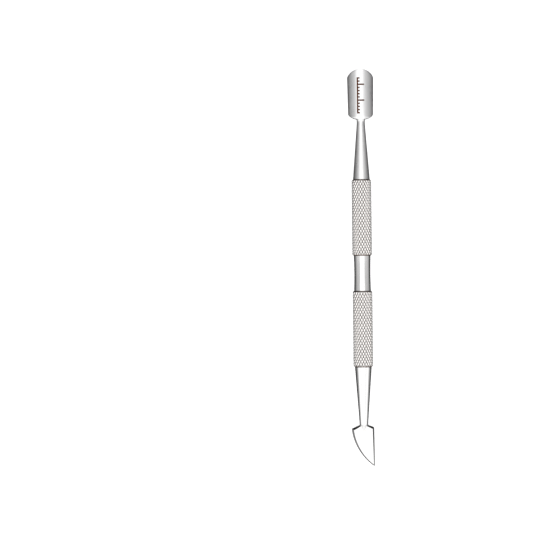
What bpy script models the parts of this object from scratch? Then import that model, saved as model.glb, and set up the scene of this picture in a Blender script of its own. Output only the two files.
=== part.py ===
"""Cuticle pusher: a steel hand tool with a curved spoon at one end and a flat blade at the other.

Metres, +Z up. The tool lies along Y on its two grips, with the spoon towards +Y, its convex side up, and the
blade towards -Y. The origin is on the surface it rests on, under the middle of its length.

Five pieces: a turned handle core, two grips that slide over its journals, and two working ends whose tangs are
pressed into its sockets. Every piece is modelled around the tool's own axis, and an empty lifts them all to
where the grips rest on the surface.
"""
import math

import bmesh
import bpy

# Overall
LENGTH = 0.125
FIT_GAP = 0.00005  # between pieces that touch
SPOON_TIP = LENGTH / 2
BLADE_TIP = -LENGTH / 2

# Handle
GRIP_RADIUS = 0.0031  # axis to the middle of a facet
GRIP_LENGTH = 0.024
GRIP_SIDES = 24  # one facet lies flat on the surface
GRIP_CHAMFER = 0.0003
WAIST_LENGTH = 0.011
WAIST_CENTRE = -0.0019
WAIST_END_RADIUS = 0.00262
WAIST_NARROWING = 0.0001
JOURNAL_RADIUS = 0.00213
SOCKET_RADIUS = 0.0013
SOCKET_DEPTH = 0.012
SOCKET_SPARE = 0.0002  # left beyond the tang's end
TURNED_SIDES = 48
WAIST_STEPS = 8

# Tapered shanks
SHANK_RADIUS = 0.00262  # at the grip
SPOON_NECK_RADIUS = 0.00124
SPOON_NECK = SPOON_TIP - 0.0169
BLADE_NECK_RADIUS = 0.00131
BLADE_NECK = BLADE_TIP + 0.0130
TANG_RADIUS = SOCKET_RADIUS - FIT_GAP
TANG_LENGTH = SOCKET_DEPTH - SOCKET_SPARE
TANG_CHAMFER = 0.0003

# Spoon: part of a cylinder, closed by a rounded tip and a rounded heel
SPOON_ARC_RADIUS = 0.0048
SPOON_CROWN = 0.00142  # axis to the top of the spoon
SPOON_HALF_WIDTH = 0.00411  # at the tip's shoulders
SPOON_HEEL_HALF_WIDTH = 0.0039
SPOON_WALL = 0.0008
SPOON_TIP_DEPTH = 0.0029
SPOON_TIP_BEND = 0.0080  # the rings follow the tip's outline over this length
SPOON_TIP_EDGE = 0.00016  # thickness at the very tip
SPOON_TIP_BEVEL = 0.0030
SPOON_TIP_CORNER = 0.0009  # the tip's corners are as thick as the middle is this far from its edge
SPOON_RIM_EDGE = 0.15  # part of the wall left upright along the rim
SPOON_RIM_TURN = 0.00022  # how far the rim turns down
SPOON_RIM_WIDTH = 0.0005
SPOON_HEEL_START = 0.01435  # from the tip
SPOON_HEEL_LENGTH = 0.00172
SPOON_POWER = 1.65  # of the superellipses that round the tip and the heel, 2 for an ellipse
SPOON_HEEL_FILLET = 0.0004
SPOON_HEEL_FADE = (0.0150, 0.0168)  # from the tip: where that fillet runs out into the neck
SPOON_CRANK = math.radians(4)  # the spoon drops towards its hollow side
SPOON_CRANK_BEND = 0.001
HEEL_BLEND = (0.0146, 0.0168)  # from the tip: arched section to round section

# Blade: flat, straight along its back and curved along its cutting edge
BLADE_UNDERSIDE = 0.00047  # axis down to its flat lower face
BLADE_FACE = (0.00015, 0.00072)  # axis up to its upper face, at the tip and at the neck
BLADE_EDGE = 0.00007  # half thickness left upright all round
BLADE_CUT_SLOPE = 1.42  # rise over run of the bevel along the cutting edge
BLADE_BACK_SLOPE = (1.2, 1.9)  # the same along the back, at the tip and at the neck
BLADE_SHOULDER_SLOPE = 1.4
BLADE_EDGE_FALL = (BLADE_TIP + 0.0114, BLADE_TIP + 0.0129)  # the edge leaves the underside to meet the neck
BLADE_EDGE_RADIUS = 0.01706
BLADE_EDGE_CENTRE = (0.01307, BLADE_TIP + 0.013765)
BLADE_EDGE_CORNER = (-0.00385, BLADE_TIP + 0.01175)
BLADE_BACK_CORNER = (0.00324, BLADE_TIP + 0.0122)
BLADE_BACK_END = 0.0034  # the back's x at the tip
BLADE_CORNER_RADIUS = 0.0004
BLADE_NECK_STRAIGHT = 0.0001
BLADE_STATIONS = (0.0111, 0.0030)  # from the tip: where the shoulders end, and where it narrows to its point
BLADE_NOSE = 0.0030  # the shank's round nose narrows into the blade's face over this length
BLADE_NOSE_END = 0.0004
BLADE_NOSE_FILLET = 0.0003

# Fineness
SPOON_STEPS = (6, 7, 10, 5)  # sections along its bevel, its straight sides, its heel and its neck
BLADE_STEPS = (9, 9, 10)  # sections along its point, its middle and its shoulders
SHANK_STEPS = 4
SECTION_STEPS = 24  # points across the upper side of a lofted section
SECTION_REACH = math.radians(87)  # how far round from the top they go
FILLET_STEPS = 4
EDGE_STEPS = 12
SHARP_ANGLE = math.radians(35)  # edges that turn more than this stay sharp
MERGE_DISTANCE = 0.000001


def material(name, color, roughness):
    """A bare steel, as a Principled material."""
    steel = bpy.data.materials.new(name)
    steel.use_nodes = True
    shader = steel.node_tree.nodes["Principled BSDF"]
    shader.inputs["Base Color"].default_value = (*color, 1.0)
    shader.inputs["Metallic"].default_value = 1.0
    shader.inputs["Roughness"].default_value = roughness
    return steel


def place(name, mesh, steel, parts, axis):
    """Puts a piece on the tool's axis, shaded smooth except at its edges."""
    piece = bpy.data.objects.new(name, mesh)
    mesh.materials.append(steel)
    mesh.shade_smooth()
    mesh.set_sharp_from_angle(angle=SHARP_ANGLE)
    piece.parent = axis
    parts.objects.link(piece)
    return piece


def turned(name, profile, closed, sides, steel, parts, axis):
    """A turned piece, from (radius, y) points that run down its outer side from +Y to -Y."""
    phase = math.pi / sides  # half a side, so that a facet and not a corner points down
    mesh = bpy.data.meshes.new(name)
    points = [(r * math.cos(phase), r * math.sin(phase), y) for r, y in profile]
    edges = [(i, i + 1) for i in range(len(points) - 1)]
    if closed:
        edges.append((len(points) - 1, 0))
    mesh.from_pydata(points, edges, [])
    piece = place(name, mesh, steel, parts, axis)
    piece.rotation_euler.x = -math.pi / 2
    screw = piece.modifiers.new("Turn", "SCREW")
    screw.angle = 2 * math.pi
    screw.steps = sides
    screw.render_steps = sides
    screw.use_merge_vertices = True
    screw.merge_threshold = MERGE_DISTANCE
    screw.use_smooth_shade = False
    return piece


def loft(name, sections, steel, parts, axis):
    """A closed body through sections, each a list of upper points and a list of lower points, left to right."""
    work = bmesh.new()
    rings = []
    for upper, lower in sections:
        rings.append(([work.verts.new(p) for p in upper], [work.verts.new(p) for p in lower]))
    for (upper, lower), (next_upper, next_lower) in zip(rings, rings[1:]):
        ring = upper + lower[::-1]
        next_ring = next_upper + next_lower[::-1]
        for i in range(len(ring)):
            j = (i + 1) % len(ring)
            work.faces.new((ring[i], ring[j], next_ring[j], next_ring[i]))
    for upper, lower in (rings[0], rings[-1]):
        for i in range(len(upper) - 1):
            work.faces.new((upper[i], upper[i + 1], lower[i + 1], lower[i]))
    bmesh.ops.recalc_face_normals(work, faces=work.faces)
    mesh = bpy.data.meshes.new(name)
    work.to_mesh(mesh)
    work.free()
    return place(name, mesh, steel, parts, axis)


def reaches():
    """Angles from straight up, left to right, of a section's upper points."""
    for i in range(SECTION_STEPS + 1):
        yield SECTION_REACH * (2 * i / SECTION_STEPS - 1)


def round_section(radius, y):
    upper = [(radius * math.sin(a), y, radius * math.cos(a)) for a in reaches()]
    lower = [(x, y, -z) for x, y, z in upper]
    return upper, lower


def ease(value, start, end):
    """0 before start, 1 after end, smooth between."""
    f = min(1.0, max(0.0, (value - start) / (end - start)))
    return f * f * (3 - 2 * f)


def between(ends, f):
    """The first end at f = 0, the second at f = 1."""
    return ends[0] + (ends[1] - ends[0]) * f


def spaced(start, end, count):
    """Numbers from the start up to just before the end."""
    return [start + (end - start) * i / count for i in range(count)]


def stations(places, steps):
    """Numbers from each place to the next, in so many steps, without the last place."""
    numbers = []
    for start, end, count in zip(places, places[1:], steps):
        numbers += spaced(start, end, count)
    return numbers


def shank_and_tang(neck_radius, neck, grip_end):
    """Round sections from the neck down the taper, over the shoulder and along the tang."""
    inward = -1 if neck > 0 else 1
    shoulder = grip_end - inward * FIT_GAP
    tang_end = shoulder + inward * TANG_LENGTH
    sections = [round_section(between((neck_radius, SHANK_RADIUS), f), between((neck, shoulder), f))
                for f in spaced(0.0, 1.0, SHANK_STEPS) + [1.0]]
    sections.append(round_section(TANG_RADIUS, shoulder))
    sections.append(round_section(TANG_RADIUS, tang_end - inward * TANG_CHAMFER))
    sections.append(round_section(TANG_RADIUS - TANG_CHAMFER, tang_end))
    return sections


def rounding(f):
    """A superellipse's height, from 1 at f = 0 to 0 at f = 1."""
    return (1 - f ** SPOON_POWER) ** (1 / SPOON_POWER)


def spoon_half_width(s):
    """Half width of the spoon's outline at a distance s from its tip, past the rounded tip."""
    if s < SPOON_HEEL_START:
        f = max(0.0, s - SPOON_TIP_DEPTH) / (SPOON_HEEL_START - SPOON_TIP_DEPTH)
        return between((SPOON_HALF_WIDTH, SPOON_HEEL_HALF_WIDTH), f)
    f = min(1.0, (s - SPOON_HEEL_START) / SPOON_HEEL_LENGTH)
    heel = (SPOON_HEEL_HALF_WIDTH - SPOON_NECK_RADIUS) * rounding(f)
    corner = SPOON_HEEL_FILLET * (1 - ease(s, *SPOON_HEEL_FADE))
    return SPOON_NECK_RADIUS + math.hypot(heel, corner)


def spoon_drop(s):
    """How far the crank lowers the spoon at a distance s from its tip."""
    ahead = HEEL_BLEND[1] - s
    bend = SPOON_CRANK_BEND * (1 - math.exp(-ahead / SPOON_CRANK_BEND))
    return math.tan(SPOON_CRANK) * max(0.0, ahead - bend)


def spoon_wall(from_edge, across):
    """Thickness near the tip, where the hollow side is ground away. Across is 0 in the middle, 1 at a side."""
    inward = math.hypot(from_edge, SPOON_TIP_CORNER * across * across)
    ground = math.sin(math.pi / 2 * min(1.0, inward / SPOON_TIP_BEVEL))
    return between((SPOON_TIP_EDGE, SPOON_WALL), ground)


def spoon_section(from_edge):
    """A section of the spoon, bent to follow the tip's outline near it."""
    bend = max(0.0, 1 - from_edge / SPOON_TIP_BEND)
    half_width = spoon_half_width(from_edge + bend * SPOON_TIP_DEPTH)
    rim_wall = spoon_wall(from_edge, 1.0)
    middle_radius = SPOON_ARC_RADIUS - rim_wall / 2
    rim_centre = math.asin((half_width - rim_wall / 2) / middle_radius)
    end_angle = rim_centre + rim_wall / 2 / middle_radius
    to_round = ease(from_edge, *HEEL_BLEND)
    upper, lower = [], []
    for reach in reaches():
        angle = end_angle * math.sin(reach) / math.sin(SECTION_REACH)
        across = min(1.0, SPOON_ARC_RADIUS * abs(math.sin(angle)) / half_width)
        s = from_edge + bend * SPOON_TIP_DEPTH * (1 - rounding(across))
        wall = spoon_wall(from_edge, across)
        rim = max(0.0, 1 - (end_angle - abs(angle)) * middle_radius / (rim_wall / 2))
        half_wall = wall / 2 * math.sqrt(max(SPOON_RIM_EDGE ** 2, 1 - rim * rim))
        crown = SPOON_CROWN - spoon_drop(s)
        for side, points in ((1, upper), (-1, lower)):
            radius = SPOON_ARC_RADIUS - wall / 2 + side * half_wall
            arch_x = radius * math.sin(angle)
            near_rim = max(1 - (half_width - abs(arch_x)) / SPOON_RIM_WIDTH,
                           across * (1 - from_edge / SPOON_RIM_WIDTH), 0.0)
            arch_z = crown - SPOON_ARC_RADIUS + radius * math.cos(angle) - SPOON_RIM_TURN * near_rim ** 2
            round_x = half_width * math.sin(reach)
            round_z = side * SPOON_NECK_RADIUS * math.cos(reach)
            x = between((arch_x, round_x), to_round)
            z = between((arch_z, round_z), to_round)
            points.append((x, SPOON_TIP - s, z))
    return upper, lower


def spoon_sections():
    """Sections from the tip to the neck, closer together along the bevel and the heel."""
    heel_end = SPOON_HEEL_START + SPOON_HEEL_LENGTH
    places = (0.0, SPOON_TIP_BEVEL, SPOON_HEEL_START, heel_end, SPOON_TIP - SPOON_NECK)
    return [spoon_section(s) for s in stations(places, SPOON_STEPS)]


def fillet(before, corner, after, radius):
    """Points along an arc that rounds a corner between two straight runs."""
    ways = []
    for other in (before, after):
        dx, dy = other[0] - corner[0], other[1] - corner[1]
        length = math.hypot(dx, dy)
        ways.append((dx / length, dy / length))
    half_angle = math.acos(ways[0][0] * ways[1][0] + ways[0][1] * ways[1][1]) / 2
    reach = radius / math.tan(half_angle)
    centre_reach = radius / math.sin(half_angle)
    middle = (ways[0][0] + ways[1][0], ways[0][1] + ways[1][1])
    scale = centre_reach / math.hypot(*middle)
    centre = (corner[0] + middle[0] * scale, corner[1] + middle[1] * scale)
    start, end = [math.atan2(corner[1] + w[1] * reach - centre[1], corner[0] + w[0] * reach - centre[0])
                  for w in ways]
    turn = (end - start + math.pi) % (2 * math.pi) - math.pi
    return [(centre[0] + radius * math.cos(start + turn * i / FILLET_STEPS),
             centre[1] + radius * math.sin(start + turn * i / FILLET_STEPS)) for i in range(FILLET_STEPS + 1)]


def cutting_edge_x(y):
    cx, cy = BLADE_EDGE_CENTRE
    return cx - math.sqrt(BLADE_EDGE_RADIUS ** 2 - (y - cy) ** 2)


def back_x(y):
    f = (BLADE_BACK_CORNER[1] - y) / (BLADE_BACK_CORNER[1] - BLADE_TIP)
    return between((BLADE_BACK_CORNER[0], BLADE_BACK_END), f)


def blade_outline():
    """Left and right sides of the blade as (x, y) points, from the neck to the tip."""
    neck_end = BLADE_NECK - BLADE_NECK_STRAIGHT
    below = BLADE_EDGE_CORNER[1] - BLADE_CORNER_RADIUS
    left = [(-BLADE_NECK_RADIUS, BLADE_NECK), (-BLADE_NECK_RADIUS, neck_end)]
    left += fillet(left[-1], BLADE_EDGE_CORNER, (cutting_edge_x(below), below), BLADE_CORNER_RADIUS)
    left += [(cutting_edge_x(y), y) for y in spaced(left[-1][1], BLADE_TIP, EDGE_STEPS)[1:] + [BLADE_TIP]]
    right = [(BLADE_NECK_RADIUS, BLADE_NECK), (BLADE_NECK_RADIUS, neck_end)]
    right += fillet(right[-1], BLADE_BACK_CORNER, (back_x(BLADE_TIP), BLADE_TIP), BLADE_CORNER_RADIUS)
    right.append((back_x(BLADE_TIP), BLADE_TIP))
    left.append(right[-1])
    return left, right


def x_at(side, y):
    """Where one side of the outline is at y."""
    for (xa, ya), (xb, yb) in zip(side, side[1:]):
        if yb <= y <= ya and ya > yb:
            return xa + (xb - xa) * (ya - y) / (ya - yb)
    return side[-1][0]


def distance_to(side, x, y):
    """Shortest distance from a point to one side of the outline."""
    best = math.inf
    for (xa, ya), (xb, yb) in zip(side, side[1:]):
        dx, dy = xb - xa, yb - ya
        f = ((x - xa) * dx + (y - ya) * dy) / (dx * dx + dy * dy)
        f = min(1.0, max(0.0, f))
        best = min(best, math.hypot(x - xa - dx * f, y - ya - dy * f))
    return best


def blade_heights(left, right, x, y):
    """How far above and below the axis the blade's upper and lower surfaces are at a point."""
    to_neck = (y - BLADE_TIP) / (BLADE_NECK - BLADE_TIP)
    corner = FILLET_STEPS // 2 + 2
    shoulder = min(distance_to(side[1:corner + 1], x, y) for side in (left, right)) * BLADE_SHOULDER_SLOPE
    cut = distance_to(left[corner:], x, y) * BLADE_CUT_SLOPE
    back = distance_to(right[corner:], x, y) * between(BLADE_BACK_SLOPE, to_neck)
    edge = (BLADE_EDGE - BLADE_UNDERSIDE) * (1 - ease(y, *BLADE_EDGE_FALL))
    upper = min(between(BLADE_FACE, to_neck), edge + BLADE_EDGE + min(shoulder, cut, back))
    lower = min(BLADE_UNDERSIDE, BLADE_EDGE - edge + shoulder)

    nose_radius = between((BLADE_NECK_RADIUS, BLADE_NOSE_END), (BLADE_NECK - y) / BLADE_NOSE)
    inside = nose_radius * abs(nose_radius) - x * x
    nose = math.copysign(math.sqrt(abs(inside)), inside)
    heights = []
    for flat in (upper, lower):
        near = max(0.0, 1 - abs(flat - nose) / BLADE_NOSE_FILLET)
        heights.append(max(flat, nose) + near * near * BLADE_NOSE_FILLET / 4)
    return heights


def blade_section(left, right, y):
    x_left, x_right = x_at(left, y), x_at(right, y)
    upper, lower = [], []
    for reach in reaches():
        x = between((x_left, x_right), 0.5 + 0.5 * math.sin(reach) / math.sin(SECTION_REACH))
        above, below = blade_heights(left, right, x, y)
        upper.append((x, y, above))
        lower.append((x, y, -below))
    return upper, lower


def blade_sections():
    """Sections from the tip to the neck, closer together where the outline turns."""
    left, right = blade_outline()
    widest, narrows = (BLADE_TIP + at for at in BLADE_STATIONS)
    neck_end = BLADE_NECK - BLADE_NECK_STRAIGHT
    places = (BLADE_TIP, narrows, widest, neck_end)
    return [blade_section(left, right, y) for y in stations(places, BLADE_STEPS) + [neck_end]]


def build():
    for old in list(bpy.data.objects):
        bpy.data.objects.remove(old, do_unlink=True)
    parts = bpy.data.collections.new("cuticle_pusher")
    bpy.context.scene.collection.children.link(parts)
    axis = bpy.data.objects.new("tool_axis", None)
    axis.location.z = GRIP_RADIUS
    parts.objects.link(axis)

    polished = material("polished_steel", (0.62, 0.61, 0.60), 0.18)
    satin = material("satin_steel", (0.60, 0.60, 0.60), 0.32)
    knurled = material("knurled_steel", (0.55, 0.53, 0.51), 0.28)

    spoon_shoulder = WAIST_CENTRE + WAIST_LENGTH / 2
    blade_shoulder = WAIST_CENTRE - WAIST_LENGTH / 2
    spoon_grip_end = spoon_shoulder + GRIP_LENGTH
    blade_grip_end = blade_shoulder - GRIP_LENGTH

    # Handle core: a waist between two journals, with a blind socket in each end
    core = [(0.0, spoon_grip_end - SOCKET_DEPTH), (SOCKET_RADIUS, spoon_grip_end - SOCKET_DEPTH),
            (SOCKET_RADIUS, spoon_grip_end), (JOURNAL_RADIUS, spoon_grip_end), (JOURNAL_RADIUS, spoon_shoulder)]
    for f in spaced(0.0, 1.0, WAIST_STEPS) + [1.0]:
        radius = WAIST_END_RADIUS - WAIST_NARROWING * math.sin(math.pi * f)
        core.append((radius, spoon_shoulder - WAIST_LENGTH * f))
    core += [(JOURNAL_RADIUS, blade_shoulder), (JOURNAL_RADIUS, blade_grip_end),
             (SOCKET_RADIUS, blade_grip_end), (SOCKET_RADIUS, blade_grip_end + SOCKET_DEPTH),
             (0.0, blade_grip_end + SOCKET_DEPTH)]
    turned("handle_core", core, False, TURNED_SIDES, polished, parts, axis)

    # Grips: rings over the journals, with chamfered ends
    outer = GRIP_RADIUS / math.cos(math.pi / GRIP_SIDES)
    bore = (JOURNAL_RADIUS + FIT_GAP) / math.cos(math.pi / GRIP_SIDES)
    for name, top in (("spoon_side_grip", spoon_grip_end), ("blade_side_grip", blade_shoulder)):
        high = top - FIT_GAP
        low = top - GRIP_LENGTH + FIT_GAP
        ring = [(bore, high), (outer - GRIP_CHAMFER, high), (outer, high - GRIP_CHAMFER),
                (outer, low + GRIP_CHAMFER), (outer - GRIP_CHAMFER, low), (bore, low)]
        turned(name, ring, True, GRIP_SIDES, knurled, parts, axis)

    spoon = spoon_sections() + shank_and_tang(SPOON_NECK_RADIUS, SPOON_NECK, spoon_grip_end)
    loft("spoon_end", spoon, satin, parts, axis)

    blade = blade_sections() + shank_and_tang(BLADE_NECK_RADIUS, BLADE_NECK, blade_grip_end)
    loft("blade_end", blade, polished, parts, axis)
    bpy.context.view_layer.update()


build()
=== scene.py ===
"""The looks of a steel cuticle pusher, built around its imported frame. Metres, +Z up, in the frame's axes.

The tool lies along Y on its two grips, with its spoon towards +Y, convex side up, and its blade towards -Y.
Each piece here stands for one CAD node, at the same place and size: a waisted core, two diamond-knurled
grips, a satin spoon with its shank, and a polished blade with its shank.
"""
import math

import bmesh
import bpy
import numpy as np
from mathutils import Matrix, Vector


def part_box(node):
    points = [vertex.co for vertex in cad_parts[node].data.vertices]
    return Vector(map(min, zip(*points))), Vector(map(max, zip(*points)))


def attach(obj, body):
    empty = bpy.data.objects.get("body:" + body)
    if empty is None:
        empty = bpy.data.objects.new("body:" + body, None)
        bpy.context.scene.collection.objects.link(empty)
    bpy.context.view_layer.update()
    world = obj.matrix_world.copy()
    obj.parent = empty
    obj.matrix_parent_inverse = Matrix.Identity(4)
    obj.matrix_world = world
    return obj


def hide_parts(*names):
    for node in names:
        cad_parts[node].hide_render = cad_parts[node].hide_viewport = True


# Turned pieces
SIDES = 144  # round a turned piece
GRIP_RADIUS = 0.0031
BORE_RADIUS = 0.00218
JOURNAL_RADIUS = 0.00213
SOCKET_RADIUS = 0.0013
SOCKET_DEPTH = 0.012
WAIST_END_RADIUS = 0.00262
WAIST_NARROWING = 0.0001
EDGE_ROUNDING = 0.00006
SHARP_ANGLE = 30  # degrees: edges that turn more than this stay sharp

# Diamond knurl: two crossed families of helical grooves
KNURL_STARTS = 20
KNURL_PITCH = 0.00164  # along the axis
KNURL_CELLS = 12  # mesh steps in one repeat, both ways
KNURL_DEPTH = 0.00028
KNURL_MIX = 0.8  # 0 for sharp pyramids between even grooves, 1 for pits where the grooves cross
KNURL_CREST = 0.7  # crests are worn flat above this part of the full height
KNURL_CHAMFER = 0.00040
KNURL_SHARP_ANGLE = 20

# Shanks
SHANK_RADIUS = 0.00262
SPOON_NECK_RADIUS = 0.00124
SPOON_NECK_AT = 0.0169  # from the spoon's tip
BLADE_NECK_RADIUS = 0.00131
BLADE_NECK_AT = 0.0130  # from the blade's tip
TANG_RADIUS = 0.00125
TANG_LENGTH = 0.0118
TANG_CHAMFER = 0.0003

# Spoon: part of a cylinder, closed by a rounded tip and a rounded heel
SPOON_ARC_RADIUS = 0.0048
SPOON_CROWN = 0.00142  # axis to the top of the spoon
SPOON_HALF_WIDTH = 0.00411
SPOON_HEEL_HALF_WIDTH = 0.0039
SPOON_WALL = 0.0008
SPOON_TIP_DEPTH = 0.0029
SPOON_TIP_BEND = 0.0080
SPOON_TIP_EDGE = 0.00016
SPOON_TIP_BEVEL = 0.0030
SPOON_TIP_CORNER = 0.0009
SPOON_RIM_EDGE = 0.15
SPOON_RIM_TURN = 0.00022
SPOON_RIM_WIDTH = 0.0005
SPOON_HEEL_START = 0.01435
SPOON_HEEL_LENGTH = 0.00172
SPOON_POWER = 1.65
SPOON_HEEL_FILLET = 0.0004
SPOON_HEEL_FADE = (0.0150, 0.0168)
SPOON_CRANK = math.radians(4)
SPOON_CRANK_BEND = 0.001
HEEL_BLEND = (0.0146, 0.0168)

# Blade: flat, straight along its back and curved along its cutting edge
BLADE_UNDERSIDE = 0.00047  # axis down to its flat lower face
BLADE_FACE = (0.00015, 0.00072)  # axis up to its upper face, at the tip and at the neck
BLADE_EDGE = 0.00007  # half thickness left upright all round
BLADE_CUT_SLOPE = 1.42  # rise over run of the bevel along the cutting edge
BLADE_BACK_SLOPE = (1.2, 1.9)  # the same along the back, at the tip and at the neck
BLADE_SHOULDER_SLOPE = 1.4
BLADE_EDGE_FALL = (0.0114, 0.0129)  # from the tip: the edge leaves the underside to meet the neck
BLADE_EDGE_RADIUS = 0.01706
BLADE_EDGE_CENTRE = (0.01307, 0.013765)  # y from the blade's tip
BLADE_EDGE_CORNER = (-0.00385, 0.01175)
BLADE_BACK_CORNER = (0.00324, 0.0122)
BLADE_BACK_END = 0.0034
BLADE_CORNER_RADIUS = 0.0004
BLADE_NECK_STRAIGHT = 0.0001
BLADE_STATIONS = (0.0111, 0.0030)
BLADE_NOSE = 0.0030
BLADE_NOSE_END = 0.0004
BLADE_NOSE_FILLET = 0.0003
BLADE_CREASE = 0.0001  # height over which a bevel's crease is rounded

# Fineness
SPOON_STEPS = (24, 40, 40, 16)  # sections along its bevel, its straight sides, its heel and its neck
BLADE_STEPS = (40, 50, 50)  # sections along its point, its middle and its shoulders
SHANK_STEPS = 40
WAIST_STEPS = 40
SECTION_STEPS = 96
SECTION_REACH = math.radians(87)
FILLET_STEPS = 12
EDGE_STEPS = 48

# Etched scale on the spoon: a base line along it, with ticks to its right
SCALE_START = 0.003  # from the spoon's tip
SCALE_END = 0.014
SCALE_STEP = 0.001
SCALE_LONG_STEP = 0.005
SCALE_BASE = -0.00095
SCALE_TICK = 0.0007
SCALE_LONG_TICK = 0.0021
SCALE_LINE = 0.00022  # half the width of a line

# Noise, as features in a metre along x, y and z
RINGS = (300, 12000, 300)
SCRATCHES = (2500, 250, 2500)
SMEARS = (350, 200, 350)
BRUSHING = (9000, 500, 9000)
PATCHES = (500, 250, 500)
MOTTLE = (1300, 1300, 1300)
GRAIN = (9000, 9000, 9000)
PLAIN_DETAIL = 2.0
FINE_DETAIL = 3.0
MIDDLE_OF_NOISE = (0.3, 0.7)
MIDDLE_OF_TWO = (0.7, 1.3)  # of two noises added
SCRATCH_EDGE = (0.66, 0.72)  # only the highest parts of the noise are scratches

# Finishes: colours and roughness, each from one end of its range to the other, and the depth of the grain
POLISHED_COLORS = ((0.64, 0.64, 0.645), (0.69, 0.68, 0.67))
POLISHED_ROUGHNESS = (0.09, 0.15)
POLISHED_GRAIN = 0.0000015
SCRATCH_ROUGHER = 0.12
SCRATCH_DEPTH = 0.5  # in depths of the polished grain
SATIN_COLORS = ((0.63, 0.63, 0.635), (0.69, 0.685, 0.68))
SATIN_ROUGHNESS = (0.27, 0.37)
SATIN_GRAIN = 0.000003
ETCHED_COLOR = (0.08, 0.021, 0.005)
ETCHED_DEPTH = 3.0  # in depths of the satin grain
CREST_COLORS = ((0.64, 0.615, 0.595), (0.81, 0.80, 0.79))
CREST_ROUGHNESS = (0.15, 0.27)
KNURL_GRAIN = 0.000006
PIT_FILM_AND_SHADE_COLOR = (0.15, 0.085, 0.06)  # in the knurl's pits: a brown film together with painted shade standing in for occlusion
FILM_AND_SHADE_TOP = 0.4  # part of the knurl's depth above the pits' brown film and painted shade
ROUGHER = 0.25  # how much rougher the etching and the knurl's pits (brown film and painted shade) are

# Light around the tool. A height is 1 overhead, 0 level and -1 below; a heading, 1 towards +Y, -1 towards -Y
SIDES_HEIGHT = (-0.64, 0.20)  # over which the grey sides brighten
SIDES_LIGHT = (0.03, 0.80)
BEHIND_HEADING = (0.0, 0.13)  # where the sides give way to the dimmer +Y end
BEHIND_LIGHT = 0.27  # at level height
BEHIND_GROWTH = 1.70  # how fast it brightens with height
WINDOW_HEIGHT = 0.28  # the +Y end keeps its light near this height
WINDOW_EDGE = (0.12, 0.24)
SHADE_HEADING = (0.30, 0.90)
SHADE_LIGHT = 0.12  # part of it left elsewhere
OVERHEAD_EDGE = (0.74, 0.90)
OVERHEAD_LIGHT = 1.8
OVERHEAD_LEAN = -0.05
FRONT_HEADING = (-0.03, -0.11)
FRONT_LIGHT = 1.7
FRONT_HEIGHT = (0.0, 0.30)
FRONT_TOP = (0.62, 0.75)
FRONT_TOP_LIGHT = 0.82  # part of the front's light left above its top
LOW_FRONT_HEADING = (-0.35, -0.75)
LOW_FRONT_HEIGHT = (0.65, 0.50)
LOW_FRONT_LIGHT = 0.45  # part of the front's light left low down at the far end
BACKDROP_LIGHT = 1.0

# Floor
FLOOR_HALF_SIZE = 2.0
FLOOR_COLOR = (0.9, 0.9, 0.9, 1.0)
FLOOR_ROUGHNESS = 0.9
FLOOR_GLOW = 0.6

# Camera: straight above, with the tool to the right of the middle
VIEW_WIDTH = 0.1676  # seen at the tool's axis
CAMERA_HEIGHT = 0.9
CAMERA_ROLL = math.radians(-0.604)
TOOL_RIGHT = 0.03012  # the tool's middle in the view
TOOL_UP = -0.00022
SENSOR = 36.0


def piece_from(name, mesh, steel, sharp=SHARP_ANGLE):
    """A piece in the scene, shaded smooth except at its sharp edges."""
    mesh.materials.append(steel)
    mesh.shade_smooth()
    mesh.set_sharp_from_angle(angle=math.radians(sharp))
    piece = bpy.data.objects.new(name, mesh)
    bpy.context.scene.collection.objects.link(piece)
    return piece


def mesh_from(name, work):
    """A mesh with its faces turned outwards."""
    bmesh.ops.recalc_face_normals(work, faces=work.faces)
    mesh = bpy.data.meshes.new(name)
    work.to_mesh(mesh)
    work.free()
    return mesh


def turned(name, profile, axis_z, steel):
    """A turned solid from (radius, y) points. Its first and last rings are closed with flat faces."""
    work = bmesh.new()
    rings = []
    angles = [2 * math.pi * i / SIDES for i in range(SIDES)]
    for radius, y in profile:
        ring = [(radius * math.sin(a), y, axis_z + radius * math.cos(a)) for a in angles]
        rings.append([work.verts.new(point) for point in ring])
    for ring, following in zip(rings, rings[1:]):
        for i in range(SIDES):
            j = (i + 1) % SIDES
            work.faces.new((ring[i], ring[j], following[j], following[i]))
    work.faces.new(rings[0])
    work.faces.new(rings[-1])
    return piece_from(name, mesh_from(name, work), steel)


def loft(name, sections, axis_z, steel):
    """A closed body through sections, each a list of upper and a list of lower points, left to right."""
    work = bmesh.new()
    rings = []
    for section in sections:
        rings.append([[work.verts.new((x, y, axis_z + z)) for x, y, z in line] for line in section])
    for (upper, lower), (next_upper, next_lower) in zip(rings, rings[1:]):
        ring = upper + lower[::-1]
        following = next_upper + next_lower[::-1]
        for i in range(len(ring)):
            j = (i + 1) % len(ring)
            work.faces.new((ring[i], ring[j], following[j], following[i]))
    for upper, lower in (rings[0], rings[-1]):
        for i in range(len(upper) - 1):
            work.faces.new((upper[i], upper[i + 1], lower[i + 1], lower[i]))
    return piece_from(name, mesh_from(name, work), steel)


def spaced(start, end, count):
    """Numbers from the start up to just before the end."""
    return [start + (end - start) * i / count for i in range(count)]


def stations(places, steps):
    """Numbers from each place to the next, in so many steps, without the last place."""
    numbers = []
    for start, end, count in zip(places, places[1:], steps):
        numbers += spaced(start, end, count)
    return numbers


def ease(value, start, end):
    """0 before start, 1 after end, smooth between."""
    f = min(1.0, max(0.0, (value - start) / (end - start)))
    return f * f * (3 - 2 * f)


# Handle

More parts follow.
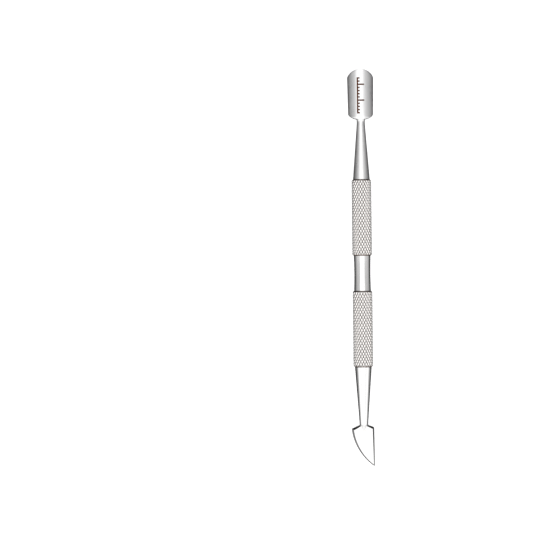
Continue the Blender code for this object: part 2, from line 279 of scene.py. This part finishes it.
def handle_core(spoon_end, spoon_shoulder, blade_shoulder, blade_end, axis_z, steel):
    """The waist between two journals, with a blind socket in each end."""
    profile = [(SOCKET_RADIUS, spoon_end - SOCKET_DEPTH), (SOCKET_RADIUS, spoon_end),
               (JOURNAL_RADIUS, spoon_end), (JOURNAL_RADIUS, spoon_shoulder),
               (WAIST_END_RADIUS - EDGE_ROUNDING, spoon_shoulder)]
    for f in spaced(0.0, 1.0, WAIST_STEPS) + [1.0]:
        y = spoon_shoulder + (blade_shoulder - spoon_shoulder) * f
        y -= EDGE_ROUNDING * (1 - 2 * f)
        profile.append((WAIST_END_RADIUS - WAIST_NARROWING * math.sin(math.pi * f), y))
    profile += [(WAIST_END_RADIUS - EDGE_ROUNDING, blade_shoulder),
                (JOURNAL_RADIUS, blade_shoulder), (JOURNAL_RADIUS, blade_end),
                (SOCKET_RADIUS, blade_end), (SOCKET_RADIUS, blade_end + SOCKET_DEPTH)]
    return turned("handle_core_turned", profile, axis_z, steel)


def groove_phase(turns, y, way):
    """Counts one family's grooves: a whole number at a groove's bottom, and half between on a crest."""
    return KNURL_STARTS * turns + way * y / KNURL_PITCH


def knurl_height(turns, y):
    """Height of the knurl, from 0 in its pits to 1 on its crests."""
    rises = []
    for way in (1, -1):
        phase = groove_phase(turns, y, way)
        rises.append(2 * np.abs(phase - np.round(phase)))
    height = (1 - KNURL_MIX) * np.minimum(*rises) + KNURL_MIX * (rises[0] + rises[1]) / 2
    return np.minimum(height, KNURL_CREST) / KNURL_CREST


def crease_distance(turns, y, way):
    """How far a point is from the nearest groove or crest line of one family."""
    phase = 2 * groove_phase(turns, y, way)
    return abs(phase - round(phase))


def knurled_grip(name, low, high, axis_z, steel):
    """A grip with a bore and a real diamond knurl, cut back to a chamfer at each end."""
    around = KNURL_STARTS * KNURL_CELLS
    step = KNURL_PITCH / KNURL_CELLS
    inner = np.arange(math.ceil(low / step + 0.5), math.floor(high / step - 0.5) + 1) * step
    ys = np.concatenate(([low], inner, [high]))
    turns = np.arange(around) / around
    radius = GRIP_RADIUS - KNURL_DEPTH * (1 - knurl_height(turns, ys[:, None]))
    from_end = np.minimum(ys - low, high - ys)[:, None]
    radius = np.minimum(radius, GRIP_RADIUS - KNURL_CHAMFER + from_end)

    work = bmesh.new()
    sines, cosines = np.sin(2 * math.pi * turns), np.cos(2 * math.pi * turns)
    rings = [[work.verts.new((r * s, y, axis_z + r * c)) for r, s, c in zip(row, sines, cosines)]
             for row, y in zip(radius, ys)]
    for y in (high, low):
        rings.append([work.verts.new((BORE_RADIUS * s, y, axis_z + BORE_RADIUS * c))
                      for s, c in zip(sines, cosines)])
    for k, ring in enumerate(rings):
        following = rings[(k + 1) % len(rings)]
        for i in range(around):
            j = (i + 1) % around
            if k + 1 >= len(ys):
                work.faces.new((ring[i], ring[j], following[j], following[i]))
                continue
            turn = (i + 0.5) / around
            y = (ys[k] + ys[k + 1]) / 2
            if crease_distance(turn, y, 1) < crease_distance(turn, y, -1):
                work.faces.new((ring[i], ring[j], following[i]))
                work.faces.new((ring[j], following[j], following[i]))
            else:
                work.faces.new((ring[i], ring[j], following[j]))
                work.faces.new((ring[i], following[j], following[i]))
    return piece_from(name, mesh_from(name, work), steel, sharp=KNURL_SHARP_ANGLE)


# Working ends

def between(ends, f):
    """The first end at f = 0, the second at f = 1."""
    return ends[0] + (ends[1] - ends[0]) * f


def reaches():
    """Angles from straight up, left to right, of a section's upper points."""
    for i in range(SECTION_STEPS + 1):
        yield SECTION_REACH * (2 * i / SECTION_STEPS - 1)


def round_section(radius, y):
    """A round section, as its upper and lower points."""
    upper = [(radius * math.sin(a), y, radius * math.cos(a)) for a in reaches()]
    return upper, [(x, y, -z) for x, y, z in upper]


def shank_and_tang(neck_radius, neck, shoulder):
    """Round sections from the neck down the taper, over the shoulder and along the tang."""
    inward = -1 if neck > 0 else 1
    tang_end = shoulder + inward * TANG_LENGTH
    edge = shoulder - inward * EDGE_ROUNDING
    sections = [round_section(between((neck_radius, SHANK_RADIUS), f), between((neck, edge), f))
                for f in spaced(0.0, 1.0, SHANK_STEPS) + [1.0]]
    for radius, y in ((SHANK_RADIUS - EDGE_ROUNDING, shoulder),
                      (TANG_RADIUS, shoulder),
                      (TANG_RADIUS, tang_end - inward * TANG_CHAMFER),
                      (TANG_RADIUS - TANG_CHAMFER, tang_end)):
        sections.append(round_section(radius, y))
    return sections


def rounding(f):
    """A superellipse's height, from 1 at f = 0 to 0 at f = 1."""
    return (1 - f ** SPOON_POWER) ** (1 / SPOON_POWER)


def spoon_half_width(s):
    """Half width of the spoon's outline at a distance s from its tip, past the rounded tip."""
    if s < SPOON_HEEL_START:
        f = max(0.0, s - SPOON_TIP_DEPTH) / (SPOON_HEEL_START - SPOON_TIP_DEPTH)
        return between((SPOON_HALF_WIDTH, SPOON_HEEL_HALF_WIDTH), f)
    f = min(1.0, (s - SPOON_HEEL_START) / SPOON_HEEL_LENGTH)
    heel = (SPOON_HEEL_HALF_WIDTH - SPOON_NECK_RADIUS) * rounding(f)
    corner = SPOON_HEEL_FILLET * (1 - ease(s, *SPOON_HEEL_FADE))
    return SPOON_NECK_RADIUS + math.hypot(heel, corner)


def spoon_drop(s):
    """How far the crank lowers the spoon at a distance s from its tip."""
    ahead = HEEL_BLEND[1] - s
    bend = SPOON_CRANK_BEND * (1 - math.exp(-ahead / SPOON_CRANK_BEND))
    return math.tan(SPOON_CRANK) * max(0.0, ahead - bend)


def spoon_wall(from_edge, across):
    """Thickness near the tip, where the hollow side is ground away. Across is 0 midway, 1 at a side."""
    inward = math.hypot(from_edge, SPOON_TIP_CORNER * across * across)
    ground = math.sin(math.pi / 2 * min(1.0, inward / SPOON_TIP_BEVEL))
    return between((SPOON_TIP_EDGE, SPOON_WALL), ground)


def spoon_section(tip, from_edge):
    """A section of the spoon, bent to follow the tip's outline near it."""
    bend = max(0.0, 1 - from_edge / SPOON_TIP_BEND)
    half_width = spoon_half_width(from_edge + bend * SPOON_TIP_DEPTH)
    rim_wall = spoon_wall(from_edge, 1.0)
    middle_radius = SPOON_ARC_RADIUS - rim_wall / 2
    rim_centre = math.asin((half_width - rim_wall / 2) / middle_radius)
    end_angle = rim_centre + rim_wall / 2 / middle_radius
    to_round = ease(from_edge, *HEEL_BLEND)
    upper, lower = [], []
    for reach in reaches():
        angle = end_angle * math.sin(reach) / math.sin(SECTION_REACH)
        across = min(1.0, SPOON_ARC_RADIUS * abs(math.sin(angle)) / half_width)
        s = from_edge + bend * SPOON_TIP_DEPTH * (1 - rounding(across))
        wall = spoon_wall(from_edge, across)
        rim = max(0.0, 1 - (end_angle - abs(angle)) * middle_radius / (rim_wall / 2))
        half_wall = wall / 2 * math.sqrt(max(SPOON_RIM_EDGE ** 2, 1 - rim * rim))
        crown = SPOON_CROWN - spoon_drop(s)
        for side, points in ((1, upper), (-1, lower)):
            radius = SPOON_ARC_RADIUS - wall / 2 + side * half_wall
            arch_x = radius * math.sin(angle)
            near_rim = max(1 - (half_width - abs(arch_x)) / SPOON_RIM_WIDTH,
                           across * (1 - from_edge / SPOON_RIM_WIDTH), 0.0)
            arch_z = crown - SPOON_ARC_RADIUS + radius * math.cos(angle) - SPOON_RIM_TURN * near_rim ** 2
            round_x = half_width * math.sin(reach)
            round_z = side * SPOON_NECK_RADIUS * math.cos(reach)
            x = between((arch_x, round_x), to_round)
            z = between((arch_z, round_z), to_round)
            points.append((x, tip - s, z))
    return upper, lower


def spoon_sections(tip):
    """Sections from the tip to the neck, closer together along the bevel and the heel."""
    heel_end = SPOON_HEEL_START + SPOON_HEEL_LENGTH
    places = (0.0, SPOON_TIP_BEVEL, SPOON_HEEL_START, heel_end, SPOON_NECK_AT)
    return [spoon_section(tip, s) for s in stations(places, SPOON_STEPS)]


def fillet(before, corner, after, radius):
    """Points along an arc that rounds a corner between two straight runs."""
    ways = []
    for other in (before, after):
        dx, dy = other[0] - corner[0], other[1] - corner[1]
        length = math.hypot(dx, dy)
        ways.append((dx / length, dy / length))
    half_angle = math.acos(ways[0][0] * ways[1][0] + ways[0][1] * ways[1][1]) / 2
    reach = radius / math.tan(half_angle)
    middle = (ways[0][0] + ways[1][0], ways[0][1] + ways[1][1])
    scale = radius / math.sin(half_angle) / math.hypot(*middle)
    centre = (corner[0] + middle[0] * scale, corner[1] + middle[1] * scale)
    start, end = [math.atan2(corner[1] + w[1] * reach - centre[1], corner[0] + w[0] * reach - centre[0])
                  for w in ways]
    turn = (end - start + math.pi) % (2 * math.pi) - math.pi
    angles = [start + turn * i / FILLET_STEPS for i in range(FILLET_STEPS + 1)]
    return [(centre[0] + radius * math.cos(a), centre[1] + radius * math.sin(a)) for a in angles]


def cutting_edge_x(t):
    """Where the curved cutting edge is at a distance t from the tip."""
    cx, cy = BLADE_EDGE_CENTRE
    return cx - math.sqrt(BLADE_EDGE_RADIUS ** 2 - (t - cy) ** 2)


def back_x(t):
    """Where the straight back is at a distance t from the tip."""
    corner_x, corner_t = BLADE_BACK_CORNER
    return between((corner_x, BLADE_BACK_END), (corner_t - t) / corner_t)


def blade_outline():
    """Left and right sides of the blade as points (x, distance from the tip), from the neck to the tip."""
    neck_end = BLADE_NECK_AT - BLADE_NECK_STRAIGHT
    below = BLADE_EDGE_CORNER[1] - BLADE_CORNER_RADIUS
    left = [(-BLADE_NECK_RADIUS, BLADE_NECK_AT), (-BLADE_NECK_RADIUS, neck_end)]
    left += fillet(left[-1], BLADE_EDGE_CORNER, (cutting_edge_x(below), below), BLADE_CORNER_RADIUS)
    left += [(cutting_edge_x(t), t) for t in spaced(left[-1][1], 0.0, EDGE_STEPS)[1:] + [0.0]]
    right = [(BLADE_NECK_RADIUS, BLADE_NECK_AT), (BLADE_NECK_RADIUS, neck_end)]
    right += fillet(right[-1], BLADE_BACK_CORNER, (back_x(0.0), 0.0), BLADE_CORNER_RADIUS)
    right.append((back_x(0.0), 0.0))
    left.append(right[-1])
    return left, right


def x_at(side, t):
    """Where one side of the outline is at a distance from the tip."""
    for (xa, ta), (xb, tb) in zip(side, side[1:]):
        if tb <= t <= ta and ta > tb:
            return xa + (xb - xa) * (ta - t) / (ta - tb)
    return side[-1][0]


def distance_to(side, x, t):
    """Shortest distance from a point to one side of the outline."""
    best = math.inf
    for (xa, ta), (xb, tb) in zip(side, side[1:]):
        dx, dt = xb - xa, tb - ta
        f = ((x - xa) * dx + (t - ta) * dt) / (dx * dx + dt * dt)
        f = min(1.0, max(0.0, f))
        best = min(best, math.hypot(x - xa - dx * f, t - ta - dt * f))
    return best


def softer_of(flat, bevel):
    """The lower of two heights, with the crease between them rounded."""
    near = max(0.0, 1 - abs(flat - bevel) / BLADE_CREASE)
    return min(flat, bevel) - near * near * BLADE_CREASE / 4


def blade_heights(left, right, x, t):
    """How far above and below the axis the blade's upper and lower surfaces are at a point."""
    to_neck = t / BLADE_NECK_AT
    corner = FILLET_STEPS // 2 + 2
    shoulder = min(distance_to(side[1:corner + 1], x, t) for side in (left, right)) * BLADE_SHOULDER_SLOPE
    cut = distance_to(left[corner:], x, t) * BLADE_CUT_SLOPE
    back = distance_to(right[corner:], x, t) * between(BLADE_BACK_SLOPE, to_neck)
    edge = (BLADE_EDGE - BLADE_UNDERSIDE) * (1 - ease(t, *BLADE_EDGE_FALL))
    upper = softer_of(between(BLADE_FACE, to_neck), edge + BLADE_EDGE + min(shoulder, cut, back))
    lower = min(BLADE_UNDERSIDE, BLADE_EDGE - edge + shoulder)

    nose_radius = between((BLADE_NECK_RADIUS, BLADE_NOSE_END), (BLADE_NECK_AT - t) / BLADE_NOSE)
    inside = nose_radius * abs(nose_radius) - x * x
    nose = math.copysign(math.sqrt(abs(inside)), inside)
    heights = []
    for flat in (upper, lower):
        near = max(0.0, 1 - abs(flat - nose) / BLADE_NOSE_FILLET)
        heights.append(max(flat, nose) + near * near * BLADE_NOSE_FILLET / 4)
    return heights


def blade_section(left, right, t, y):
    """A section across the blade, at a distance t from its tip."""
    x_left, x_right = x_at(left, t), x_at(right, t)
    upper, lower = [], []
    for reach in reaches():
        x = between((x_left, x_right), 0.5 + 0.5 * math.sin(reach) / math.sin(SECTION_REACH))
        above, below = blade_heights(left, right, x, t)
        upper.append((x, y, above))
        lower.append((x, y, -below))
    return upper, lower


def blade_sections(tip):
    """Sections from the tip to the neck, closer together where the outline turns."""
    left, right = blade_outline()
    widest, narrows = BLADE_STATIONS
    neck_end = BLADE_NECK_AT - BLADE_NECK_STRAIGHT
    places = (0.0, narrows, widest, neck_end)
    return [blade_section(left, right, t, tip + t) for t in stations(places, BLADE_STEPS) + [neck_end]]


# Materials

def value_node(tree, operation, *values):
    """A sum, product or comparison of numbers and sockets."""
    node = tree.nodes.new("ShaderNodeMath")
    node.operation = operation
    for socket, value in zip(node.inputs, values):
        if isinstance(value, (int, float)):
            socket.default_value = value
        else:
            tree.links.new(value, socket)
    return node.outputs[0]


def remap(tree, value, low, high, to_low=0.0, to_high=1.0, smooth=True):
    """A change from to_low to to_high as the value goes from low to high."""
    node = tree.nodes.new("ShaderNodeMapRange")
    node.interpolation_type = "SMOOTHSTEP" if smooth else "LINEAR"
    tree.links.new(value, node.inputs["Value"])
    for name, number in (("From Min", low), ("From Max", high), ("To Min", to_low), ("To Max", to_high)):
        node.inputs[name].default_value = number
    return node.outputs["Result"]


def blend(tree, factor, low, high):
    """A colour from low to high as the factor goes from 0 to 1."""
    node = tree.nodes.new("ShaderNodeMix")
    node.data_type = "RGBA"
    sockets = {socket.identifier: socket for socket in node.inputs}
    tree.links.new(factor, sockets["Factor_Float"])
    for name, color in (("A_Color", low), ("B_Color", high)):
        if isinstance(color, tuple):
            sockets[name].default_value = (*color, 1.0)
        else:
            tree.links.new(color, sockets[name])
    return next(socket for socket in node.outputs if socket.identifier == "Result_Color")


def noise(tree, place, counts, detail=PLAIN_DETAIL):
    """Noise with about so many features in a metre along x, y and z."""
    scaled = tree.nodes.new("ShaderNodeVectorMath")
    scaled.operation = "MULTIPLY"
    tree.links.new(place, scaled.inputs[0])
    scaled.inputs[1].default_value = counts
    node = tree.nodes.new("ShaderNodeTexNoise")
    node.inputs["Scale"].default_value = 1.0
    node.inputs["Detail"].default_value = detail
    tree.links.new(scaled.outputs[0], node.inputs["Vector"])
    return node.outputs["Fac"]


class Steel:
    """A bare steel under way: its tree, its shader, and the piece's own coordinates."""

    def __init__(self, name):
        self.material = bpy.data.materials.new(name)
        self.material.use_nodes = True
        self.tree = self.material.node_tree
        self.shader = self.tree.nodes["Principled BSDF"]
        self.shader.inputs["Metallic"].default_value = 1.0
        self.place = self.tree.nodes.new("ShaderNodeTexCoord").outputs["Object"]
        split = self.tree.nodes.new("ShaderNodeSeparateXYZ")
        self.tree.links.new(self.place, split.inputs[0])
        self.x, self.y, self.z = split.outputs

    def finish(self, color, roughness, height, depth):
        """Links a colour, a roughness and a surface grain so many metres deep."""
        bump = self.tree.nodes.new("ShaderNodeBump")
        bump.inputs["Distance"].default_value = depth
        self.tree.links.new(height, bump.inputs["Height"])
        for value, name in ((color, "Base Color"), (roughness, "Roughness"), (bump.outputs[0], "Normal")):
            self.tree.links.new(value, self.shader.inputs[name])
        return self.material


def polished_steel():
    """Bright steel with fine rings left by turning, faint smears, and a few scratches along it."""
    steel = Steel("polished_steel")
    tree = steel.tree
    rings = noise(tree, steel.place, RINGS)
    scratches = remap(tree, noise(tree, steel.place, SCRATCHES), *SCRATCH_EDGE)
    smears = noise(tree, steel.place, SMEARS)
    color = blend(tree, smears, *POLISHED_COLORS)
    roughness = remap(tree, smears, *MIDDLE_OF_NOISE, *POLISHED_ROUGHNESS)
    roughness = value_node(tree, "MULTIPLY_ADD", scratches, SCRATCH_ROUGHER, roughness)
    height = value_node(tree, "MULTIPLY_ADD", scratches, -SCRATCH_DEPTH, rings)
    return steel.finish(color, roughness, height, POLISHED_GRAIN)


def etched_scale(steel, spoon_tip, axis_z):
    """1 on the lines of a plain measuring scale on the spoon's convex side, 0 elsewhere."""
    tree = steel.tree
    along = value_node(tree, "SUBTRACT", spoon_tip, steel.y)
    aside = value_node(tree, "SUBTRACT", steel.x, SCALE_BASE)
    on_scale = value_node(tree, "COMPARE", along, (SCALE_START + SCALE_END) / 2,
                          (SCALE_END - SCALE_START) / 2 + SCALE_LINE)
    lines = value_node(tree, "LESS_THAN", value_node(tree, "ABSOLUTE", aside), SCALE_LINE)
    for step, length in ((SCALE_STEP, SCALE_TICK), (SCALE_LONG_STEP, SCALE_LONG_TICK)):
        from_tick = value_node(tree, "PINGPONG", along, step / 2)
        tick = value_node(tree, "LESS_THAN", from_tick, SCALE_LINE)
        in_length = value_node(tree, "COMPARE", aside, length / 2, length / 2)
        tick = value_node(tree, "MULTIPLY", tick, in_length)
        lines = value_node(tree, "MAXIMUM", lines, tick)
    convex = value_node(tree, "GREATER_THAN", steel.z, axis_z)
    return value_node(tree, "MULTIPLY", value_node(tree, "MULTIPLY", lines, on_scale), convex)


def satin_steel(spoon_tip, axis_z):
    """Steel brushed along its length, with a brown scale etched into the spoon."""
    steel = Steel("satin_steel")
    tree = steel.tree
    brushing = noise(tree, steel.place, BRUSHING, FINE_DETAIL)
    patches = noise(tree, steel.place, PATCHES)
    etched = etched_scale(steel, spoon_tip, axis_z)
    color = blend(tree, patches, *SATIN_COLORS)
    color = blend(tree, etched, color, ETCHED_COLOR)
    both = value_node(tree, "ADD", brushing, patches)
    roughness = remap(tree, both, *MIDDLE_OF_TWO, *SATIN_ROUGHNESS)
    roughness = value_node(tree, "MULTIPLY_ADD", etched, ROUGHER, roughness)
    height = value_node(tree, "MULTIPLY_ADD", etched, -ETCHED_DEPTH, brushing)
    return steel.finish(color, roughness, height, SATIN_GRAIN)


def knurled_steel(axis_z):
    """Crests polished by handling, over rougher pits darkened brown: partly a film, partly painted shade for
    the occlusion deep in the pits.
    """
    steel = Steel("knurled_steel")
    tree = steel.tree
    above = value_node(tree, "SUBTRACT", steel.z, axis_z)
    square = value_node(tree, "MULTIPLY_ADD", above, above, value_node(tree, "MULTIPLY", steel.x, steel.x))
    radius = value_node(tree, "SQRT", square)
    # Painted shade with a brown film in the pits: darker and browner as the radius drops towards the bottom
    # of the knurl
    pit_film_and_shade = remap(tree, radius, GRIP_RADIUS - FILM_AND_SHADE_TOP * KNURL_DEPTH, GRIP_RADIUS - KNURL_DEPTH)
    mottle = noise(tree, steel.place, MOTTLE, FINE_DETAIL)
    color = blend(tree, pit_film_and_shade, blend(tree, mottle, *CREST_COLORS), PIT_FILM_AND_SHADE_COLOR)
    roughness = remap(tree, mottle, *MIDDLE_OF_NOISE, *CREST_ROUGHNESS)
    roughness = value_node(tree, "MULTIPLY_ADD", pit_film_and_shade, ROUGHER, roughness)
    grain = noise(tree, steel.place, GRAIN)
    return steel.finish(color, roughness, grain, KNURL_GRAIN)


# Stage

def dimmed(tree, light, where, part_left):
    """A light with only part of it left where the mask is 1."""
    left = remap(tree, where, 0.0, 1.0, 1.0, part_left, smooth=False)
    return value_node(tree, "MULTIPLY", light, left)


def sides_and_end(tree, heading, height):
    """The grey sides, and the dimmer end towards +Y with its window."""
    sides = remap(tree, height, *SIDES_HEIGHT, *SIDES_LIGHT, smooth=False)
    growth = value_node(tree, "EXPONENT", value_node(tree, "MULTIPLY", height, BEHIND_GROWTH))
    dim = value_node(tree, "MULTIPLY", BEHIND_LIGHT, growth)
    behind = remap(tree, heading, *BEHIND_HEADING)
    room = value_node(tree, "MULTIPLY_ADD", behind, value_node(tree, "SUBTRACT", dim, sides), sides)
    from_window = value_node(tree, "ABSOLUTE", value_node(tree, "SUBTRACT", height, WINDOW_HEIGHT))
    off_window = remap(tree, from_window, *WINDOW_EDGE)
    shade = value_node(tree, "MULTIPLY", remap(tree, heading, *SHADE_HEADING), off_window)
    return dimmed(tree, room, shade, SHADE_LIGHT)


def front_box(tree, heading, height):
    """The soft box towards -Y, weaker above its top and low down at the far end."""
    lit = remap(tree, heading, *FRONT_HEADING, 0.0, FRONT_LIGHT)
    front = value_node(tree, "MULTIPLY", lit, remap(tree, height, *FRONT_HEIGHT))
    front = value_node(tree, "MULTIPLY", front, remap(tree, height, *FRONT_TOP, 1.0, FRONT_TOP_LIGHT))
    far = remap(tree, heading, *LOW_FRONT_HEADING)
    low_front = value_node(tree, "MULTIPLY", far, remap(tree, height, *LOW_FRONT_HEIGHT))
    return dimmed(tree, front, low_front, LOW_FRONT_LIGHT)


def studio_world():
    """Soft boxes overhead and towards -Y, grey sides, a dimmer +Y end, and plain white for the camera."""
    world = bpy.data.worlds.new("studio")
    bpy.context.scene.world = world
    world.use_nodes = True
    tree = world.node_tree
    place = tree.nodes.new("ShaderNodeTexCoord")
    split = tree.nodes.new("ShaderNodeSeparateXYZ")
    tree.links.new(place.outputs["Generated"], split.inputs[0])
    across, along, height = split.outputs
    square = value_node(tree, "MULTIPLY", height, height)
    level = value_node(tree, "SQRT", value_node(tree, "SUBTRACT", 1.0001, square))  # never 0
    heading = value_node(tree, "DIVIDE", along, level)
    leaning = value_node(tree, "MULTIPLY_ADD", across, OVERHEAD_LEAN, height)
    overhead = remap(tree, leaning, *OVERHEAD_EDGE, 0.0, OVERHEAD_LIGHT)
    room = sides_and_end(tree, heading, height)
    boxes = value_node(tree, "MAXIMUM", overhead, front_box(tree, heading, height))
    strength = value_node(tree, "MAXIMUM", room, boxes)
    seen = tree.nodes.new("ShaderNodeLightPath")
    mix = tree.nodes.new("ShaderNodeMix")
    tree.links.new(seen.outputs["Is Camera Ray"], mix.inputs["Factor"])
    tree.links.new(strength, mix.inputs["A"])
    mix.inputs["B"].default_value = BACKDROP_LIGHT
    background = tree.nodes["Background"]
    tree.links.new(mix.outputs["Result"], background.inputs["Strength"])
    background.inputs["Color"].default_value = (1.0, 1.0, 1.0, 1.0)


def white_floor():
    """A plain pale floor that the steel doesn't reflect."""
    mesh = bpy.data.meshes.new("floor")
    work = bmesh.new()
    bmesh.ops.create_grid(work, x_segments=1, y_segments=1, size=FLOOR_HALF_SIZE)
    work.to_mesh(mesh)
    work.free()
    paint = bpy.data.materials.new("white_floor")
    paint.use_nodes = True
    shader = paint.node_tree.nodes["Principled BSDF"]
    shader.inputs["Base Color"].default_value = FLOOR_COLOR
    shader.inputs["Roughness"].default_value = FLOOR_ROUGHNESS
    shader.inputs["Specular IOR Level"].default_value = 0.0
    shader.inputs["Emission Color"].default_value = (1.0, 1.0, 1.0, 1.0)
    shader.inputs["Emission Strength"].default_value = FLOOR_GLOW
    mesh.materials.append(paint)
    floor = bpy.data.objects.new("floor", mesh)
    floor.visible_glossy = False
    bpy.context.scene.collection.objects.link(floor)


def overhead_camera(axis_z):
    """A camera that looks straight down, turned a little about its own axis."""
    camera = bpy.data.objects.new("camera", bpy.data.cameras.new("camera"))
    camera.data.sensor_width = SENSOR
    camera.data.lens = SENSOR * (CAMERA_HEIGHT - axis_z) / VIEW_WIDTH
    right = Vector((math.cos(CAMERA_ROLL), math.sin(CAMERA_ROLL), 0.0))
    up = Vector((-math.sin(CAMERA_ROLL), math.cos(CAMERA_ROLL), 0.0))
    camera.location = Vector((0.0, 0.0, CAMERA_HEIGHT)) - right * TOOL_RIGHT - up * TOOL_UP
    camera.rotation_euler = (0.0, 0.0, CAMERA_ROLL)
    bpy.context.scene.collection.objects.link(camera)
    bpy.context.scene.camera = camera


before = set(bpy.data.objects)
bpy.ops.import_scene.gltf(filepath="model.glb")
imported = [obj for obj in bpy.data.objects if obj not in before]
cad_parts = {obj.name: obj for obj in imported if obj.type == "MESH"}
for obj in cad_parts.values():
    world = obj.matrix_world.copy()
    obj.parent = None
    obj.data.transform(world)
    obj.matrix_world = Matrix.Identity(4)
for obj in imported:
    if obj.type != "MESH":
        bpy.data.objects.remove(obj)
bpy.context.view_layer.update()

core_low, core_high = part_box("handle_core")
axis_z = (core_low[2] + core_high[2]) / 2
spoon_grip_low, spoon_grip_high = (corner[1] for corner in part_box("spoon_side_grip"))
blade_grip_low, blade_grip_high = (corner[1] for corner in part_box("blade_side_grip"))
spoon_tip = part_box("spoon_end")[1][1]
blade_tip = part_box("blade_end")[0][1]

overhead_camera(axis_z)
studio_world()
white_floor()
bpy.context.scene.view_settings.view_transform = "Standard"

polished = polished_steel()
satin = satin_steel(spoon_tip, axis_z)
knurled = knurled_steel(axis_z)

core = handle_core(core_high[1], spoon_grip_low, blade_grip_high, core_low[1], axis_z, polished)
spoon_grip = knurled_grip("spoon_side_grip_knurled", spoon_grip_low, spoon_grip_high, axis_z, knurled)
blade_grip = knurled_grip("blade_side_grip_knurled", blade_grip_low, blade_grip_high, axis_z, knurled)
spoon_shank = shank_and_tang(SPOON_NECK_RADIUS, spoon_tip - SPOON_NECK_AT, core_high[1])
spoon = loft("spoon_end_forged", spoon_sections(spoon_tip) + spoon_shank, axis_z, satin)
blade_shank = shank_and_tang(BLADE_NECK_RADIUS, blade_tip + BLADE_NECK_AT, core_low[1])
blade = loft("blade_end_forged", blade_sections(blade_tip) + blade_shank, axis_z, polished)

for piece, node, slot in ((core, "handle_core", "polished_steel"),
                          (spoon_grip, "spoon_side_grip", "knurled_steel"),
                          (blade_grip, "blade_side_grip", "knurled_steel"),
                          (spoon, "spoon_end", "satin_steel"),
                          (blade, "blade_end", "polished_steel")):
    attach(piece, "root")
    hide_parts(node)
